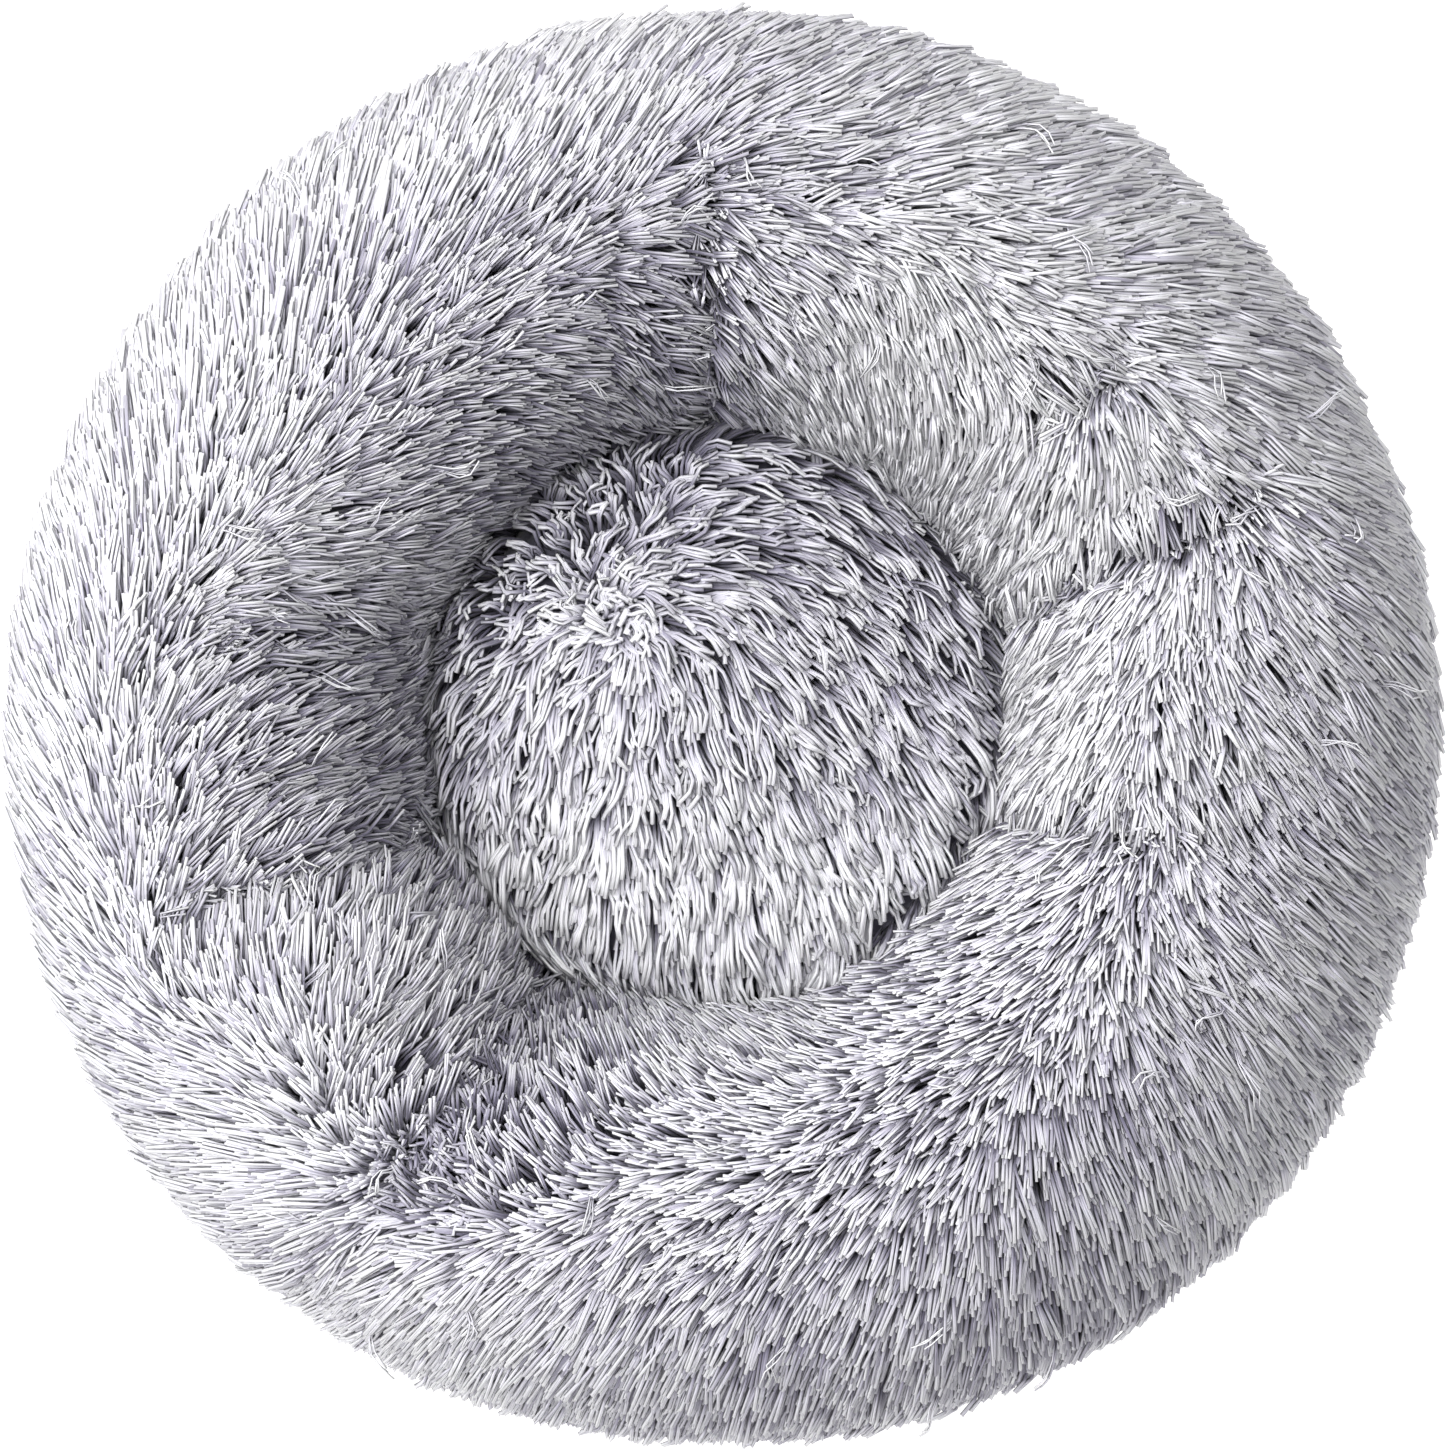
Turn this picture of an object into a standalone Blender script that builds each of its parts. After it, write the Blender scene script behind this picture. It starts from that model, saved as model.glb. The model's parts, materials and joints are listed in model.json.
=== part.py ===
"""Round plush pet bed: a stuffed ring bolster in five lengths between its tucks, a domed centre cushion
inside the ring, and a flat cloth base under both.

Metres, +Z up. The origin is the middle of the base, on the floor. The solids hold the fur's full depth.
"""

import math
from collections import namedtuple

import bpy
from mathutils import Matrix, Vector

# Driving sizes
BED_RADIUS = 0.300
BED_HEIGHT = 0.196
WELL_RADIUS = 0.124
WELL_CENTRE = Vector((-0.002, 0.004))
BASE_RADIUS = 0.250
BASE_THICKNESS = 0.004
BASE_SEGMENTS = 96
GAP = 0.0005

# The bolster's tube, as a section in radius and height, with its weight spreading the underside flatter
TUBE_HALF_WIDTH = (BED_RADIUS - WELL_RADIUS) / 2
TUBE_RADIUS = (BED_RADIUS + WELL_RADIUS) / 2
TUBE_FLOOR = BASE_THICKNESS + GAP
TUBE_CENTRE_HEIGHT = 0.094
TUBE_TOP_HALF = BED_HEIGHT - TUBE_CENTRE_HEIGHT
TUBE_BOTTOM_HALF = TUBE_CENTRE_HEIGHT - TUBE_FLOOR
TUBE_TOP_SQUARENESS = 0.9
TUBE_BOTTOM_SQUARENESS = 0.72
SEGMENTS_ROUND_BED = 132
SEGMENTS_ROUND_TUBE = 24

# How far the outline swells past its circle midway between +X and +Y, +Y and -X, -X and -Y, -Y and +X.
# It fades from the tube's outermost line to a share of its half width inside its middle, and the well's
# shift fades from its innermost line to a share outside its middle.
OUTLINE_SWELL = (0.002, -0.002, 0.0045, 0.0055)
SWELLS_IN_HALF_TURN = 2
SWELL_END = 0.2
WELL_SHIFT_END = 0.4

# The centre cushion presses out against the bolster's inner wall, and its crown is off its middle
CUSHION_RADIUS = 0.132
CUSHION_GAP = 0.0006
CUSHION_HALF_HEIGHT = 0.045
CUSHION_CENTRE_HEIGHT = TUBE_FLOOR + CUSHION_HALF_HEIGHT
CUSHION_SQUARENESS = 0.5
CROWN_RISE = 0.020
CROWN_RADIUS = 0.115
CROWN_CENTRE = Vector((-0.022, 0.018))
CUSHION_SEGMENTS = 48
CUSHION_RINGS = 20

# A tuck sinks the bolster's inner side along a line. Its bearing and lean are in degrees, counter-clockwise
# from +X, and the lean turns the line off the radius. It crosses its bearing at radius, lowers the cover by
# depth, as a share of its height over the tube's middle, and fades out at reach. It is as wide as its two
# sides, the clockwise one first.
Tuck = namedtuple("Tuck", "bearing lean radius reach depth sides")
TUCKS = (
    Tuck(bearing=21, lean=9, radius=0.172, reach=0.270, depth=0.46, sides=(0.011, 0.016)),
    Tuck(bearing=92, lean=-2, radius=0.155, reach=0.250, depth=0.54, sides=(0.011, 0.030)),
    Tuck(bearing=200, lean=-5, radius=0.160, reach=0.245, depth=0.56, sides=(0.030, 0.012)),
    Tuck(bearing=234, lean=0, radius=0.175, reach=0.290, depth=0.48, sides=(0.032, 0.018)),
    Tuck(bearing=339, lean=20, radius=0.128, reach=0.200, depth=0.36, sides=(0.011, 0.012)),
)
# One more fold is too shallow to part the bolster.
SHALLOW_FOLD = Tuck(bearing=166, lean=22, radius=0.165, reach=0.235, depth=0.30, sides=(0.024, 0.013))
BLADE_THICKNESS = 0.0006
BLADE_FROM = 0.070
BLADE_TO = 0.340
BLADE_HEIGHT = 3 * BED_HEIGHT

# Each length of bolster runs counter-clockwise from its tuck to the next. Its top rises by puff in its
# middle. +Y is north in their names.
Length = namedtuple("Length", "name puff")
LENGTHS = (
    Length("bolster_northeast", 0.003),
    Length("bolster_northwest", 0.001),
    Length("bolster_southwest", 0.005),
    Length("bolster_south", 0.004),
    Length("bolster_east", 0.003),
)

SHARP_FROM_DEGREES = 50
PLUSH = ("plush", (0.62, 0.60, 0.66, 1.0), 0.9)
CUSHION_PLUSH = ("cushion_plush", (0.55, 0.53, 0.60, 1.0), 0.9)
BASE_CLOTH = ("base_cloth", (0.10, 0.10, 0.12, 1.0), 0.7)


def clear_scene():
    for obj in list(bpy.data.objects):
        bpy.data.objects.remove(obj)


def make_collection(name):
    collection = bpy.data.collections.new(name)
    bpy.context.scene.collection.children.link(collection)
    return collection


def move_to(obj, collection):
    for owner in list(obj.users_collection):
        owner.objects.unlink(obj)
    collection.objects.link(obj)


def material(name, colour, roughness):
    made = bpy.data.materials.new(name)
    made.use_nodes = True
    shader = made.node_tree.nodes["Principled BSDF"]
    shader.inputs["Base Color"].default_value = colour
    shader.inputs["Roughness"].default_value = roughness
    shader.inputs["Metallic"].default_value = 0.0
    return made


def squared(value, exponent):
    """A sine or cosine made flatter, which turns an ellipse into one with fuller shoulders."""
    return math.copysign(abs(value) ** exponent, value)


def fade(value, start, end):
    """1 up to start and 0 past end, with a smooth step between."""
    share = min(1.0, max(0.0, (value - start) / (end - start)))
    return 1.0 - share * share * (3.0 - 2.0 * share)


def on_bearing(degrees, radius=1.0):
    angle = math.radians(degrees)
    return Vector((math.cos(angle), math.sin(angle))) * radius


def puff_at(bearing):
    """The rise of the length of bolster that this bearing, in degrees, lies in. Its two tucks have none."""
    for index, length in enumerate(LENGTHS):
        start = TUCKS[index].bearing
        span = (TUCKS[(index + 1) % len(TUCKS)].bearing - start) % 360
        along = (bearing - start) % 360
        if along <= span:
            return length.puff * math.sin(math.pi * along / span) ** 2
    return 0.0


def swell_at(bearing):
    """The swelling of the outline at this bearing, in degrees, nothing on the axes."""
    quarter = int(bearing % 360 // 90)
    return OUTLINE_SWELL[quarter] * math.sin(math.radians(SWELLS_IN_HALF_TURN * bearing)) ** 2


def tuck_sink(plan):
    """How far, as a share of its height over the tube's middle, the folds lower the cover at this place."""
    sink = 0.0
    for tuck in (*TUCKS, SHALLOW_FOLD):
        along = on_bearing(tuck.bearing + tuck.lean)
        offset = plan - on_bearing(tuck.bearing, tuck.radius)
        aside = offset.x * along.y - offset.y * along.x
        if plan.dot(along) > 0:
            clockwise, counter_clockwise = tuck.sides
            side = clockwise if aside > 0 else counter_clockwise
            narrow = math.exp(-((aside / side) ** 2))
            sink += tuck.depth * narrow * fade(plan.length, tuck.radius, tuck.reach)
    return sink


def bolster_point(bearing, turn):
    """A point of the bolster's cover, at a bearing round the bed and a turn round its tube, both in radians.
    The turn is 0 outward, a quarter turn on top and a half turn towards the well."""
    on_top = math.sin(turn) > 0
    squareness = TUBE_TOP_SQUARENESS if on_top else TUBE_BOTTOM_SQUARENESS
    outward = squared(math.cos(turn), squareness)
    upward = squared(math.sin(turn), squareness)
    radial = on_bearing(math.degrees(bearing))
    plan = radial * (TUBE_RADIUS + TUBE_HALF_WIDTH * outward)
    plan += radial * swell_at(math.degrees(bearing)) * fade(-outward, -1.0, SWELL_END)
    plan += WELL_CENTRE * fade(outward, -1.0, WELL_SHIFT_END)
    if on_top:
        rise = (TUBE_TOP_HALF + puff_at(math.degrees(bearing))) * upward
        rise *= 1 - tuck_sink(plan)
    else:
        rise = TUBE_BOTTOM_HALF * upward
    return Vector((plan.x, plan.y, TUBE_CENTRE_HEIGHT + rise))


def make_ring():
    """The whole bolster: a torus with every corner moved onto the cover's shape."""
    bpy.ops.mesh.primitive_torus_add(
        major_segments=SEGMENTS_ROUND_BED,
        minor_segments=SEGMENTS_ROUND_TUBE,
        major_radius=TUBE_RADIUS,
        minor_radius=TUBE_HALF_WIDTH,
    )
    ring = bpy.context.object
    for vertex in ring.data.vertices:
        x, y, z = vertex.co
        vertex.co = bolster_point(math.atan2(y, x), math.atan2(z, math.hypot(x, y) - TUBE_RADIUS))
    return ring


def make_blade(tuck, cutters):
    """A thin upright slab along a tuck's line, from inside the well to past the bolster."""
    bpy.ops.mesh.primitive_cube_add(size=1)
    blade = bpy.context.object
    along = on_bearing(tuck.bearing + tuck.lean)
    middle = on_bearing(tuck.bearing, tuck.radius) + along * ((BLADE_FROM + BLADE_TO) / 2 - tuck.radius)
    size = Matrix.Diagonal((BLADE_TO - BLADE_FROM, BLADE_THICKNESS, BLADE_HEIGHT, 1))
    turned = Matrix.Rotation(math.atan2(along.y, along.x), 4, "Z")
    blade.data.transform(Matrix.Translation((middle.x, middle.y, BED_HEIGHT / 2)) @ turned @ size)
    blade.name = f"cutter_tuck_{tuck.bearing}"
    blade.hide_render = True
    blade.display_type = "WIRE"
    move_to(blade, cutters)
    return blade


def apply_modifiers(obj):
    """Replaces an object's mesh with the one that its modifiers make."""
    graph = bpy.context.evaluated_depsgraph_get()
    mesh = bpy.data.meshes.new_from_object(obj.evaluated_get(graph))
    obj.modifiers.clear()
    obj.data = mesh


def make_bolster(parts, cutters, plush):
    """The ring, parted by a thin cut at each tuck, with each length named by where it lies."""
    ring = make_ring()
    for tuck in TUCKS:
        cut = ring.modifiers.new(f"cut_{tuck.bearing}", "BOOLEAN")
        cut.operation = "DIFFERENCE"
        cut.object = make_blade(tuck, cutters)
    bpy.context.view_layer.update()
    apply_modifiers(ring)
    bpy.ops.object.select_all(action="DESELECT")
    ring.select_set(True)
    bpy.context.view_layer.objects.active = ring
    bpy.ops.object.mode_set(mode="EDIT")
    bpy.ops.mesh.separate(type="LOOSE")
    bpy.ops.object.mode_set(mode="OBJECT")
    for piece in list(bpy.context.selected_objects):
        middle = sum((v.co for v in piece.data.vertices), Vector()) / len(piece.data.vertices)
        bearing = math.degrees(math.atan2(middle.y, middle.x))
        spans = [(bearing - tuck.bearing) % 360 for tuck in TUCKS]
        piece.name = LENGTHS[spans.index(min(spans))].name
        finish(piece, parts, plush)


def well_radius_at(height):
    """The radius of the bolster's inner wall at this height."""
    half, squareness = TUBE_TOP_HALF, TUBE_TOP_SQUARENESS
    if height < TUBE_CENTRE_HEIGHT:
        half, squareness = TUBE_BOTTOM_HALF, TUBE_BOTTOM_SQUARENESS
    upward = min(1.0, abs(height - TUBE_CENTRE_HEIGHT) / half) ** (1 / squareness)
    return TUBE_RADIUS - TUBE_HALF_WIDTH * math.sqrt(1 - upward * upward) ** squareness


def make_cushion(parts, plush):
    """A stuffed round pad with full shoulders and a low crown, lying on the base inside the bolster."""
    bpy.ops.mesh.primitive_uv_sphere_add(segments=CUSHION_SEGMENTS, ring_count=CUSHION_RINGS, radius=1)
    cushion = bpy.context.object
    for vertex in cushion.data.vertices:
        x, y, z = vertex.co
        bearing = math.degrees(math.atan2(y, x))
        radius = CUSHION_RADIUS * squared(math.hypot(x, y), CUSHION_SQUARENESS)
        height = CUSHION_CENTRE_HEIGHT + CUSHION_HALF_HEIGHT * squared(z, CUSHION_SQUARENESS)
        plan = on_bearing(bearing, min(radius, well_radius_at(height) - CUSHION_GAP))
        if z > 0:
            height += CROWN_RISE * z * fade((plan - CROWN_CENTRE).length, 0.0, CROWN_RADIUS)
        plan += WELL_CENTRE
        vertex.co = (plan.x, plan.y, height)
    cushion.name = "centre_cushion"
    finish(cushion, parts, plush)


def make_base(parts, cloth):
    """The round of stout cloth that closes the bed underneath and lies on the floor."""
    bpy.ops.mesh.primitive_cylinder_add(
        vertices=BASE_SEGMENTS,
        radius=BASE_RADIUS,
        depth=BASE_THICKNESS,
        location=(0, 0, BASE_THICKNESS / 2),
    )
    base = bpy.context.object
    base.name = "base_cloth"
    finish(base, parts, cloth)


def finish(obj, parts, surface):
    obj.data.materials.clear()
    obj.data.materials.append(surface)
    obj.data.shade_smooth()
    obj.data.set_sharp_from_angle(angle=math.radians(SHARP_FROM_DEGREES))
    move_to(obj, parts)


def main():
    clear_scene()
    parts = make_collection("plush_pet_bed")
    cutters = make_collection("cutters")
    make_bolster(parts, cutters, material(*PLUSH))
    make_cushion(parts, material(*CUSHION_PLUSH))
    make_base(parts, material(*BASE_CLOTH))


main()
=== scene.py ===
import json
import math
from collections import namedtuple

import bmesh
import bpy
import numpy as np
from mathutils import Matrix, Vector
from mathutils.bvhtree import BVHTree

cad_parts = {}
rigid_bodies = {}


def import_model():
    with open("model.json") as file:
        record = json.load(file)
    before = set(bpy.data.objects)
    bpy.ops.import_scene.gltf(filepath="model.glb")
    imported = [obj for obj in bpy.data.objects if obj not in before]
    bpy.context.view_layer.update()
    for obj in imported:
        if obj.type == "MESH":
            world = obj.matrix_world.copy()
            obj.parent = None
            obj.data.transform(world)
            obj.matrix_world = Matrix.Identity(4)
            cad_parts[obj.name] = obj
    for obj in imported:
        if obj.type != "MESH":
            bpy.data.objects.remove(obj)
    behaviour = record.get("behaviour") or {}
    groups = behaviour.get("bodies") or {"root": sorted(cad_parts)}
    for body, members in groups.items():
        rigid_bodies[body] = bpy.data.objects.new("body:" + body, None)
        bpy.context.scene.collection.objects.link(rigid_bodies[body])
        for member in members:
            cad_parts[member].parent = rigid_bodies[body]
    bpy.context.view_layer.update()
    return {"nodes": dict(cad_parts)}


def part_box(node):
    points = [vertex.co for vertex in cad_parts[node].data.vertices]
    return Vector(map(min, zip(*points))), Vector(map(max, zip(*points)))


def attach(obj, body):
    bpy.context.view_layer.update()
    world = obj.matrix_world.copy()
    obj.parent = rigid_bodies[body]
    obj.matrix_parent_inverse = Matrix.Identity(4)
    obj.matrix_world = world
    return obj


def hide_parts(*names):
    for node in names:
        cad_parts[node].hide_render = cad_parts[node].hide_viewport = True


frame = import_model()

# ---------------------------------------------------------------------------------------------
# The underside. A round of stout dark cloth closes the bed below. It is sewn to the bolster's
# cover all round, with the seam turned in as a flat hem, and carries small rubbery grip dots.
# ---------------------------------------------------------------------------------------------
base_low, base_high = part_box("base_cloth")
BASE_RADIUS = (base_high[0] - base_low[0]) / 2
GRIP_HEIGHT = 0.0010
HEM_WIDTH = 0.012
CLOTH_THICKNESS = 0.0022

bpy.ops.object.select_all(action="DESELECT")
bpy.ops.mesh.primitive_cylinder_add(
    vertices=160, radius=BASE_RADIUS, depth=CLOTH_THICKNESS,
    location=(0, 0, GRIP_HEIGHT + CLOTH_THICKNESS / 2),
)
underside = bpy.context.object
underside.name = "underside_cloth"
bpy.ops.object.mode_set(mode="EDIT")
bpy.ops.mesh.select_mode(type="FACE")
mesh = bmesh.from_edit_mesh(underside.data)
for face in mesh.faces:
    face.select = abs(face.normal.z) > 0.9
bmesh.update_edit_mesh(underside.data)
bpy.ops.mesh.inset(thickness=HEM_WIDTH)
bpy.ops.mesh.inset(thickness=0.0008, depth=-0.0005)
bpy.ops.mesh.select_all(action="DESELECT")
bpy.ops.mesh.select_mode(type="EDGE")
mesh = bmesh.from_edit_mesh(underside.data)
for edge in mesh.edges:
    rim = all(math.hypot(v.co.x, v.co.y) > BASE_RADIUS - 1e-4 for v in edge.verts)
    edge.select = rim and abs(edge.verts[0].co.z - edge.verts[1].co.z) < 1e-5
bmesh.update_edit_mesh(underside.data)
bpy.ops.mesh.bevel(offset=0.0007, segments=2)
bpy.ops.object.mode_set(mode="OBJECT")
bpy.ops.object.transform_apply(location=True, rotation=True, scale=True)
bpy.ops.object.shade_smooth_by_angle(angle=math.radians(40))


def new_material(name, roughness, sheen=0.0, specular=0.3):
    made = bpy.data.materials.new(name)
    made.use_nodes = True
    shader = made.node_tree.nodes["Principled BSDF"]
    shader.inputs["Roughness"].default_value = roughness
    shader.inputs["Sheen Weight"].default_value = sheen
    shader.inputs["Specular IOR Level"].default_value = specular
    return made, made.node_tree.nodes, made.node_tree.links, shader


def colour_ramp(nodes, stops):
    ramp = nodes.new("ShaderNodeValToRGB")
    while len(ramp.color_ramp.elements) < len(stops):
        ramp.color_ramp.elements.new(0.5)
    for element, (place, colour) in zip(ramp.color_ramp.elements, stops):
        element.position = place
        element.color = (*colour, 1.0)
    return ramp


oxford, nodes, links, shader = new_material("oxford_cloth", roughness=0.62, specular=0.35)
place = nodes.new("ShaderNodeTexCoord")
warp = nodes.new("ShaderNodeTexWave")
warp.bands_direction = "X"
warp.inputs["Scale"].default_value = 420.0
weft = nodes.new("ShaderNodeTexWave")
weft.bands_direction = "Y"
weft.inputs["Scale"].default_value = 420.0
weave = nodes.new("ShaderNodeMath")
weave.operation = "MAXIMUM"
wear = nodes.new("ShaderNodeTexNoise")
wear.inputs["Scale"].default_value = 35.0
shade = colour_ramp(nodes, [(0.3, (0.030, 0.030, 0.036)), (0.75, (0.052, 0.052, 0.060))])
relief = nodes.new("ShaderNodeBump")
relief.inputs["Strength"].default_value = 0.5
relief.inputs["Distance"].default_value = 0.0003
links.new(place.outputs["Object"], warp.inputs["Vector"])
links.new(place.outputs["Object"], weft.inputs["Vector"])
links.new(place.outputs["Object"], wear.inputs["Vector"])
links.new(warp.outputs["Fac"], weave.inputs[0])
links.new(weft.outputs["Fac"], weave.inputs[1])
links.new(weave.outputs["Value"], relief.inputs["Height"])
links.new(relief.outputs["Normal"], shader.inputs["Normal"])
links.new(wear.outputs["Fac"], shade.inputs["Fac"])
links.new(shade.outputs["Color"], shader.inputs["Base Color"])
underside.data.materials.append(oxford)
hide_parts("base_cloth")
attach(underside, "root")

DOT_RADIUS = 0.0026
DOT_FOOT_RADIUS = 0.0019
DOT_SPACING = 0.0165
DOTS_ACROSS = 29
DOTTED_RADIUS = BASE_RADIUS - 2 * HEM_WIDTH

bpy.ops.object.select_all(action="DESELECT")
bpy.ops.mesh.primitive_cone_add(
    vertices=10, radius1=DOT_FOOT_RADIUS, radius2=DOT_RADIUS, depth=1.4 * GRIP_HEIGHT,
    location=(-DOT_SPACING * (DOTS_ACROSS // 2), -DOT_SPACING * (DOTS_ACROSS // 2), 0.7 * GRIP_HEIGHT),
)
dots = bpy.context.object
dots.name = "grip_dots"
bpy.ops.object.transform_apply(location=True, rotation=True, scale=True)
bpy.ops.object.mode_set(mode="EDIT")
bpy.ops.mesh.select_mode(type="EDGE")
mesh = bmesh.from_edit_mesh(dots.data)
for edge in mesh.edges:
    edge.select = all(v.co.z < 1e-5 for v in edge.verts)
bmesh.update_edit_mesh(dots.data)
bpy.ops.mesh.bevel(offset=0.35 * GRIP_HEIGHT, segments=1)
bpy.ops.object.mode_set(mode="OBJECT")
for axis in range(2):
    rows = dots.modifiers.new("rows", "ARRAY")
    rows.count = DOTS_ACROSS
    rows.use_relative_offset = False
    rows.use_constant_offset = True
    rows.constant_offset_displace = [DOT_SPACING * (axis == 0), DOT_SPACING * (axis == 1), 0.0]
    bpy.ops.object.modifier_apply(modifier=rows.name)
bpy.ops.object.mode_set(mode="EDIT")
bpy.ops.mesh.select_mode(type="VERT")
bpy.ops.mesh.select_all(action="DESELECT")
mesh = bmesh.from_edit_mesh(dots.data)
for vertex in mesh.verts:
    middle = [DOT_SPACING * round(vertex.co[axis] / DOT_SPACING) for axis in range(2)]
    vertex.select = math.hypot(*middle) > DOTTED_RADIUS
bmesh.update_edit_mesh(dots.data)
bpy.ops.mesh.delete(type="VERT")
bpy.ops.object.mode_set(mode="OBJECT")
bpy.ops.object.shade_smooth_by_angle(angle=math.radians(40))

rubber, nodes, links, shader = new_material("grip_rubber", roughness=0.55, specular=0.4)
place = nodes.new("ShaderNodeTexCoord")
scuffs = nodes.new("ShaderNodeTexNoise")
scuffs.inputs["Scale"].default_value = 90.0
shade = colour_ramp(nodes, [(0.35, (0.010, 0.010, 0.012)), (0.7, (0.032, 0.032, 0.036))])
links.new(place.outputs["Object"], scuffs.inputs["Vector"])
links.new(scuffs.outputs["Fac"], shade.inputs["Fac"])
links.new(shade.outputs["Color"], shader.inputs["Base Color"])
dots.data.materials.append(rubber)
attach(dots, "root")

# ---------------------------------------------------------------------------------------------
# The bolster's cover. A tube of faux fur cloth is sewn into a ring and blown full of loose
# fibre. The filling swells it between the tucks, where the cover has folded in on itself.
# What is modelled here is the knitted backing, under the pile by the pile's depth.
# ---------------------------------------------------------------------------------------------
BOLSTER_NODES = [name for name in frame["nodes"] if name.startswith("bolster_")]
PILE_DEPTH = 0.014
TUBE_RADIUS = 0.212
TUBE_HALF = 0.112
TUBE_HEIGHT = 0.098
AROUND_BED = 264
AROUND_TUBE = 60

bpy.ops.object.select_all(action="DESELECT")
for name in BOLSTER_NODES:
    bpy.data.objects[name].select_set(True)
bpy.context.view_layer.objects.active = bpy.data.objects[BOLSTER_NODES[0]]
bpy.ops.object.duplicate()
bpy.ops.object.join()
filled_shape = bpy.context.object
filled_shape.parent = None
bpy.ops.object.select_all(action="DESELECT")
bpy.ops.mesh.primitive_torus_add(
    major_segments=AROUND_BED, minor_segments=AROUND_TUBE,
    major_radius=TUBE_RADIUS, minor_radius=TUBE_HALF, location=(0, 0, TUBE_HEIGHT),
)
cover = bpy.context.object
cover.name = "bolster_cover"
bpy.ops.object.transform_apply(location=True, rotation=True, scale=True)
wrap = cover.modifiers.new("onto_the_solids", "SHRINKWRAP")
wrap.target = filled_shape
bpy.ops.object.modifier_apply(modifier=wrap.name)
bpy.data.objects.remove(filled_shape)
bpy.ops.object.mode_set(mode="EDIT")
bpy.ops.mesh.select_all(action="SELECT")
bpy.ops.mesh.vertices_smooth(factor=0.5, repeat=4)
bpy.ops.transform.shrink_fatten(value=-PILE_DEPTH)
bpy.ops.mesh.vertices_smooth(factor=0.5, repeat=3)
bpy.ops.object.mode_set(mode="OBJECT")
bpy.ops.object.shade_smooth()


def points_of(obj):
    flat = np.empty(3 * len(obj.data.vertices), np.float32)
    obj.data.vertices.foreach_get("co", flat)
    return flat.reshape(-1, 3).astype(np.float64)


def place_points(obj, points):
    obj.data.vertices.foreach_set("co", points.astype(np.float32).ravel())
    obj.data.update()


def rest_on(obj, height, blend_from):
    """Lets the underside of a stuffed piece spread flat on what it lies on."""
    points = points_of(obj)
    low = points[:, 2].min()
    share = np.clip((blend_from - points[:, 2]) / (blend_from - low), 0.0, 1.0)
    points[:, 2] -= (low - height) * share
    place_points(obj, points)


def blow_up(obj, sewn, pressure, stiffness, most):
    """Fills a closed cover with stuffing. The sewn share of each point holds it where it is."""
    before = points_of(obj)
    group = obj.vertex_groups.new(name="sewn")
    for index, weight in enumerate(sewn):
        group.add([index], float(weight), "REPLACE")
    cloth = obj.modifiers.new("stuffing", "CLOTH")
    cloth.settings.quality = 4
    cloth.settings.mass = 0.25
    cloth.settings.tension_stiffness = stiffness
    cloth.settings.compression_stiffness = stiffness
    cloth.settings.bending_stiffness = 0.8
    cloth.settings.use_pressure = True
    cloth.settings.uniform_pressure_force = pressure
    cloth.settings.vertex_group_mass = group.name
    cloth.settings.effector_weights.gravity = 0.0
    cloth.collision_settings.use_collision = False
    cloth.point_cache.frame_start = 1
    cloth.point_cache.frame_end = 20
    for number in range(1, 21):
        bpy.context.scene.frame_set(number)
    bpy.ops.object.select_all(action="DESELECT")
    obj.select_set(True)
    bpy.context.view_layer.objects.active = obj
    bpy.ops.object.modifier_apply(modifier=cloth.name)
    bpy.context.scene.frame_set(1)
    moved = points_of(obj) - before
    far = np.linalg.norm(moved, axis=1, keepdims=True)
    moved *= np.minimum(1.0, most / np.maximum(far, 1e-9))
    place_points(obj, before + moved)
    obj.vertex_groups.clear()


rest_on(cover, base_high[2] + 0.0005, blend_from=0.060)

# The stitches that gather the cover and fold it in. Bearing and lean are in degrees,
# counter-clockwise from +X, and the lean turns the fold's line off the radius. It crosses its
# bearing at radius, fades out at reach, and draws the cloth in by pinch. A short one starts only
# on the crest. The pile laps over a fold by about overhang.
Fold = namedtuple(
    "Fold", "bearing lean radius reach pinch half_width start overhang", defaults=(0.0, 0.0045)
)
FOLDS = (
    Fold(
        bearing=21, lean=9, radius=0.172, reach=0.262, pinch=0.009, half_width=0.0075,
        overhang=0.0026,
    ),
    Fold(bearing=92, lean=-2, radius=0.155, reach=0.240, pinch=0.010, half_width=0.0085),
    Fold(bearing=200, lean=-5, radius=0.160, reach=0.245, pinch=0.010, half_width=0.0085),
    Fold(bearing=234, lean=0, radius=0.175, reach=0.290, pinch=0.018, half_width=0.0170),
    Fold(bearing=339, lean=20, radius=0.128, reach=0.200, pinch=0.010, half_width=0.0075),
    Fold(bearing=166, lean=22, radius=0.165, reach=0.235, pinch=0.004, half_width=0.0085),
    Fold(
        bearing=42, lean=2, radius=0.200, reach=0.228, pinch=0.007, half_width=0.009, start=0.168
    ),
)
FOLD_START_FADE = 0.020
FOLD_BOTTOM = 0.060
FOLD_FULL = 0.095


def beside(fold, points):
    """How far clockwise of a fold these points lie, and how strong the fold is there."""
    at, line = math.radians(fold.bearing), math.radians(fold.bearing + fold.lean)
    along = np.array([math.cos(line), math.sin(line)])
    offset = points[:, :2] - fold.radius * np.array([math.cos(at), math.sin(at)])
    aside = offset @ np.array([along[1], -along[0]])
    radius = np.hypot(points[:, 0], points[:, 1])
    strength = np.clip((fold.reach - radius) / (fold.reach - fold.radius), 0.0, 1.0)
    strength *= np.clip((radius - fold.start) / FOLD_START_FADE, 0.0, 1.0)
    on_top = np.clip((points[:, 2] - FOLD_BOTTOM) / (FOLD_FULL - FOLD_BOTTOM), 0.0, 1.0)
    return aside, strength * (points[:, :2] @ along > 0) * on_top


def fold_closeness(points, half_width):
    """1 on a fold and 0 well away from it."""
    close = np.zeros(len(points))
    for fold in FOLDS:
        aside, strength = beside(fold, points)
        close = np.maximum(close, strength * np.exp(-((aside / half_width) ** 2)))
    return close


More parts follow.
